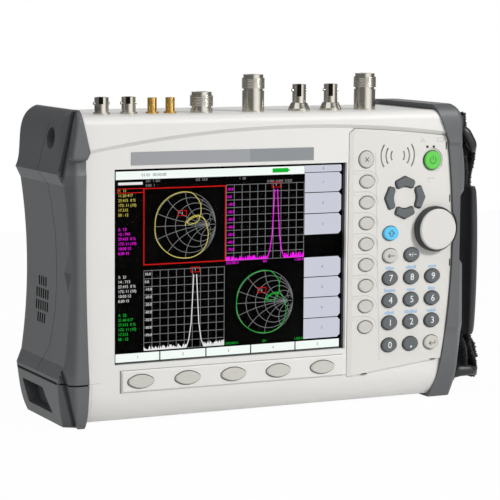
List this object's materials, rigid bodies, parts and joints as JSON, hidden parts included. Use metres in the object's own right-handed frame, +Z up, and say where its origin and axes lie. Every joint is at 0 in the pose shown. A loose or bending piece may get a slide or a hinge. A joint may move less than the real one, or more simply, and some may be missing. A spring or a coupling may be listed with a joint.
{
  "type": "handheld vector network analyzer",
  "caption": "Portable network analyzer case with a screen, keypad, tuning knob, coaxial jacks on top, rubber end bumpers, hand strap and folding rear stand.",
  "frame": {"origin": "middle of the bounding box, on the surface that the part stands on", "axes": "+X to the right along the front, +Y to the back, +Z up"},
  "size_m": [0.3445, 0.1044, 0.2342],
  "materials": {
    "shell_white": "fine moulded texture",
    "fascia_grey": "fine moulded texture",
    "boot_grey": "satin moulded elastomer",
    "window_glass": "clear",
    "display_black": "dark panel",
    "circuit_board": "solder mask",
    "module_aluminium": "milled",
    "black_plastic": "satin",
    "bail_grey": "satin",
    "knob_grey": "satin",
    "knob_white": "satin",
    "nickel": "nickel plate",
    "gold": "gold plate",
    "webbing": "woven nylon",
    "grip_vinyl": "smooth vinyl",
    "key_dark": "satin silicone",
    "key_light": "satin silicone",
    "key_green": "satin silicone",
    "key_blue": "satin silicone"
  },
  "bodies": {
    "case": {"front_shell": "shell_white", "rear_shell": "shell_white", "keypad_fascia": "fascia_grey", "left_boot": "boot_grey", "right_boot": "boot_grey", "display_window": "window_glass", "display_module": "display_black", "keypad_board": "circuit_board", "main_board": "circuit_board", "rf_module": "module_aluminium", "rotary_encoder": "black_plastic", "cooling_fan": "black_plastic", "battery_pack": "black_plastic", "loudspeaker": "black_plastic", "strap_anchors": "black_plastic", "strap_rings": "black_plastic", "n_jacks": "nickel", "bnc_jacks": "nickel", "sma_jacks": "gold", "strap_webbing": "webbing", "strap_grip": "grip_vinyl"},
    "knob": {"tuning_knob": "knob_grey", "knob_cap": "knob_white"},
    "fan": {"fan_rotor": "black_plastic"},
    "bail": {"tilt_bail": "bail_grey"},
    "door": {"battery_door": "boot_grey"},
    "digit_key_0": {"digit_key_0": "key_dark"},
    "digit_key_1": {"digit_key_1": "key_dark"},
    "digit_key_2": {"digit_key_2": "key_dark"},
    "digit_key_3": {"digit_key_3": "key_dark"},
    "digit_key_4": {"digit_key_4": "key_dark"},
    "digit_key_5": {"digit_key_5": "key_dark"},
    "digit_key_6": {"digit_key_6": "key_dark"},
    "digit_key_7": {"digit_key_7": "key_dark"},
    "digit_key_8": {"digit_key_8": "key_dark"},
    "digit_key_9": {"digit_key_9": "key_dark"},
    "point_key": {"point_key": "key_dark"},
    "sign_key": {"sign_key": "key_dark"},
    "up_key": {"up_key": "key_dark"},
    "left_key": {"left_key": "key_dark"},
    "down_key": {"down_key": "key_dark"},
    "right_key": {"right_key": "key_dark"},
    "soft_key_1": {"soft_key_1": "key_light"},
    "soft_key_2": {"soft_key_2": "key_light"},
    "soft_key_3": {"soft_key_3": "key_light"},
    "soft_key_4": {"soft_key_4": "key_light"},
    "soft_key_5": {"soft_key_5": "key_light"},
    "soft_key_6": {"soft_key_6": "key_light"},
    "soft_key_7": {"soft_key_7": "key_light"},
    "soft_key_8": {"soft_key_8": "key_light"},
    "function_key_1": {"function_key_1": "key_light"},
    "function_key_2": {"function_key_2": "key_light"},
    "function_key_3": {"function_key_3": "key_light"},
    "function_key_4": {"function_key_4": "key_light"},
    "function_key_5": {"function_key_5": "key_light"},
    "escape_key": {"escape_key": "key_light"},
    "back_key": {"back_key": "key_light"},
    "enter_key": {"enter_key": "key_light"},
    "power_key": {"power_key": "key_green"},
    "shift_key": {"shift_key": "key_blue"}
  },
  "joints": [
    {"name": "knob_turn", "type": "hinge", "parent": "case", "child": "knob", "pos_m": [0.1106, -0.0522, 0.1239], "axis": [0, 1, 0], "continuous": true},
    {"name": "fan_spin", "type": "hinge", "parent": "case", "child": "fan", "pos_m": [-0.15725, 0.0112, 0.081], "axis": [1, 0, 0], "continuous": true},
    {"name": "bail_swing", "type": "hinge", "parent": "case", "child": "bail", "pos_m": [-0.01475, 0.0452, 0.15], "axis": [1, 0, 0], "range_deg": [0, 38]},
    {"name": "battery_door_slide", "type": "slide", "parent": "case", "child": "door", "axis": [-1, 0, 0], "range_m": [0, 0.06]},
    {"name": "digit_key_0_press", "type": "slide", "parent": "case", "child": "digit_key_0", "axis": [0, 1, 0], "range_m": [0, 0.001], "stiffness_N_per_m": 900},
    {"name": "digit_key_1_press", "type": "slide", "parent": "case", "child": "digit_key_1", "axis": [0, 1, 0], "range_m": [0, 0.001], "stiffness_N_per_m": 900},
    {"name": "digit_key_2_press", "type": "slide", "parent": "case", "child": "digit_key_2", "axis": [0, 1, 0], "range_m": [0, 0.001], "stiffness_N_per_m": 900},
    {"name": "digit_key_3_press", "type": "slide", "parent": "case", "child": "digit_key_3", "axis": [0, 1, 0], "range_m": [0, 0.001], "stiffness_N_per_m": 900},
    {"name": "digit_key_4_press", "type": "slide", "parent": "case", "child": "digit_key_4", "axis": [0, 1, 0], "range_m": [0, 0.001], "stiffness_N_per_m": 900},
    {"name": "digit_key_5_press", "type": "slide", "parent": "case", "child": "digit_key_5", "axis": [0, 1, 0], "range_m": [0, 0.001], "stiffness_N_per_m": 900},
    {"name": "digit_key_6_press", "type": "slide", "parent": "case", "child": "digit_key_6", "axis": [0, 1, 0], "range_m": [0, 0.001], "stiffness_N_per_m": 900},
    {"name": "digit_key_7_press", "type": "slide", "parent": "case", "child": "digit_key_7", "axis": [0, 1, 0], "range_m": [0, 0.001], "stiffness_N_per_m": 900},
    {"name": "digit_key_8_press", "type": "slide", "parent": "case", "child": "digit_key_8", "axis": [0, 1, 0], "range_m": [0, 0.001], "stiffness_N_per_m": 900},
    {"name": "digit_key_9_press", "type": "slide", "parent": "case", "child": "digit_key_9", "axis": [0, 1, 0], "range_m": [0, 0.001], "stiffness_N_per_m": 900},
    {"name": "point_key_press", "type": "slide", "parent": "case", "child": "point_key", "axis": [0, 1, 0], "range_m": [0, 0.001], "stiffness_N_per_m": 900},
    {"name": "sign_key_press", "type": "slide", "parent": "case", "child": "sign_key", "axis": [0, 1, 0], "range_m": [0, 0.001], "stiffness_N_per_m": 900},
    {"name": "up_key_press", "type": "slide", "parent": "case", "child": "up_key", "axis": [0, 1, 0], "range_m": [0, 0.001], "stiffness_N_per_m": 900},
    {"name": "left_key_press", "type": "slide", "parent": "case", "child": "left_key", "axis": [0, 1, 0], "range_m": [0, 0.001], "stiffness_N_per_m": 900},
    {"name": "down_key_press", "type": "slide", "parent": "case", "child": "down_key", "axis": [0, 1, 0], "range_m": [0, 0.001], "stiffness_N_per_m": 900},
    {"name": "right_key_press", "type": "slide", "parent": "case", "child": "right_key", "axis": [0, 1, 0], "range_m": [0, 0.001], "stiffness_N_per_m": 900},
    {"name": "soft_key_1_press", "type": "slide", "parent": "case", "child": "soft_key_1", "axis": [0, 1, 0], "range_m": [0, 0.001], "stiffness_N_per_m": 900},
    {"name": "soft_key_2_press", "type": "slide", "parent": "case", "child": "soft_key_2", "axis": [0, 1, 0], "range_m": [0, 0.001], "stiffness_N_per_m": 900},
    {"name": "soft_key_3_press", "type": "slide", "parent": "case", "child": "soft_key_3", "axis": [0, 1, 0], "range_m": [0, 0.001], "stiffness_N_per_m": 900},
    {"name": "soft_key_4_press", "type": "slide", "parent": "case", "child": "soft_key_4", "axis": [0, 1, 0], "range_m": [0, 0.001], "stiffness_N_per_m": 900},
    {"name": "soft_key_5_press", "type": "slide", "parent": "case", "child": "soft_key_5", "axis": [0, 1, 0], "range_m": [0, 0.001], "stiffness_N_per_m": 900},
    {"name": "soft_key_6_press", "type": "slide", "parent": "case", "child": "soft_key_6", "axis": [0, 1, 0], "range_m": [0, 0.001], "stiffness_N_per_m": 900},
    {"name": "soft_key_7_press", "type": "slide", "parent": "case", "child": "soft_key_7", "axis": [0, 1, 0], "range_m": [0, 0.001], "stiffness_N_per_m": 900},
    {"name": "soft_key_8_press", "type": "slide", "parent": "case", "child": "soft_key_8", "axis": [0, 1, 0], "range_m": [0, 0.001], "stiffness_N_per_m": 900},
    {"name": "function_key_1_press", "type": "slide", "parent": "case", "child": "function_key_1", "axis": [0, 1, 0], "range_m": [0, 0.001], "stiffness_N_per_m": 900},
    {"name": "function_key_2_press", "type": "slide", "parent": "case", "child": "function_key_2", "axis": [0, 1, 0], "range_m": [0, 0.001], "stiffness_N_per_m": 900},
    {"name": "function_key_3_press", "type": "slide", "parent": "case", "child": "function_key_3", "axis": [0, 1, 0], "range_m": [0, 0.001], "stiffness_N_per_m": 900},
    {"name": "function_key_4_press", "type": "slide", "parent": "case", "child": "function_key_4", "axis": [0, 1, 0], "range_m": [0, 0.001], "stiffness_N_per_m": 900},
    {"name": "function_key_5_press", "type": "slide", "parent": "case", "child": "function_key_5", "axis": [0, 1, 0], "range_m": [0, 0.001], "stiffness_N_per_m": 900},
    {"name": "escape_key_press", "type": "slide", "parent": "case", "child": "escape_key", "axis": [0, 1, 0], "range_m": [0, 0.001], "stiffness_N_per_m": 900},
    {"name": "back_key_press", "type": "slide", "parent": "case", "child": "back_key", "axis": [0, 1, 0], "range_m": [0, 0.001], "stiffness_N_per_m": 900},
    {"name": "enter_key_press", "type": "slide", "parent": "case", "child": "enter_key", "axis": [0, 1, 0], "range_m": [0, 0.001], "stiffness_N_per_m": 900},
    {"name": "power_key_press", "type": "slide", "parent": "case", "child": "power_key", "axis": [0, 1, 0], "range_m": [0, 0.001], "stiffness_N_per_m": 900},
    {"name": "shift_key_press", "type": "slide", "parent": "case", "child": "shift_key", "axis": [0, 1, 0], "range_m": [0, 0.001], "stiffness_N_per_m": 900}
  ]
}
